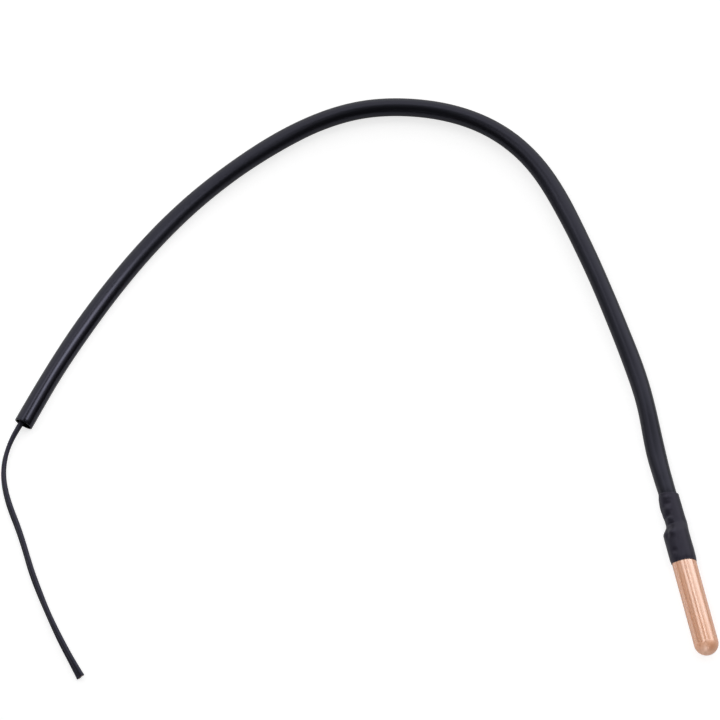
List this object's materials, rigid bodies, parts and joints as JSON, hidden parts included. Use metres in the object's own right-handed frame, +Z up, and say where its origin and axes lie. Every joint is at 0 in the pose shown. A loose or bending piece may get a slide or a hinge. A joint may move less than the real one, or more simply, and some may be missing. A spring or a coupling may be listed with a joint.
{
  "type": "defrost sensor",
  "caption": "Defrost sensor: a thermistor potted in a dome-ended copper tube, with a long black sleeve, a heat-shrink boot over the joint, and a thin twin lead with a bare cut end.",
  "frame": {"origin": "middle of the probe (shell and boot), on the surface that the sensor lies on", "axes": "+Z up, +Y along the shell's axis from its dome towards the cable, +X to the right"},
  "size_m": [0.1711, 0.1705, 0.0067],
  "materials": {
    "copper_tube": "drawn copper tube, satin, slightly dulled",
    "heat_shrink": "black polyolefin heat-shrink, satin, puckered",
    "sleeve_pvc": "black extruded PVC tubing, satin",
    "lead_pvc": "black PVC twin lead, satin",
    "copper_strand": "bare stranded copper, cut",
    "ntc_ceramic": "sintered oxide chip with fired electrodes",
    "epoxy_drop": "dark epoxy drop",
    "tinned_copper": "tinned copper, bright",
    "polyimide": "amber polyimide tube",
    "epoxy_potting": "dark potting resin"
  },
  "bodies": {
    "root": {"probe_shell": "copper_tube", "boot": "heat_shrink", "outer_sleeve": "sleeve_pvc", "lead_jacket": "lead_pvc", "conductor_a": "copper_strand", "conductor_b": "copper_strand", "thermistor_chip": "ntc_ceramic", "bead_coat": "epoxy_drop", "thermistor_wire_a": "tinned_copper", "thermistor_wire_b": "tinned_copper", "splice_a": "tinned_copper", "splice_b": "tinned_copper", "splice_tube_a": "polyimide", "splice_tube_b": "polyimide", "potting": "epoxy_potting"}
  },
  "joints": []
}
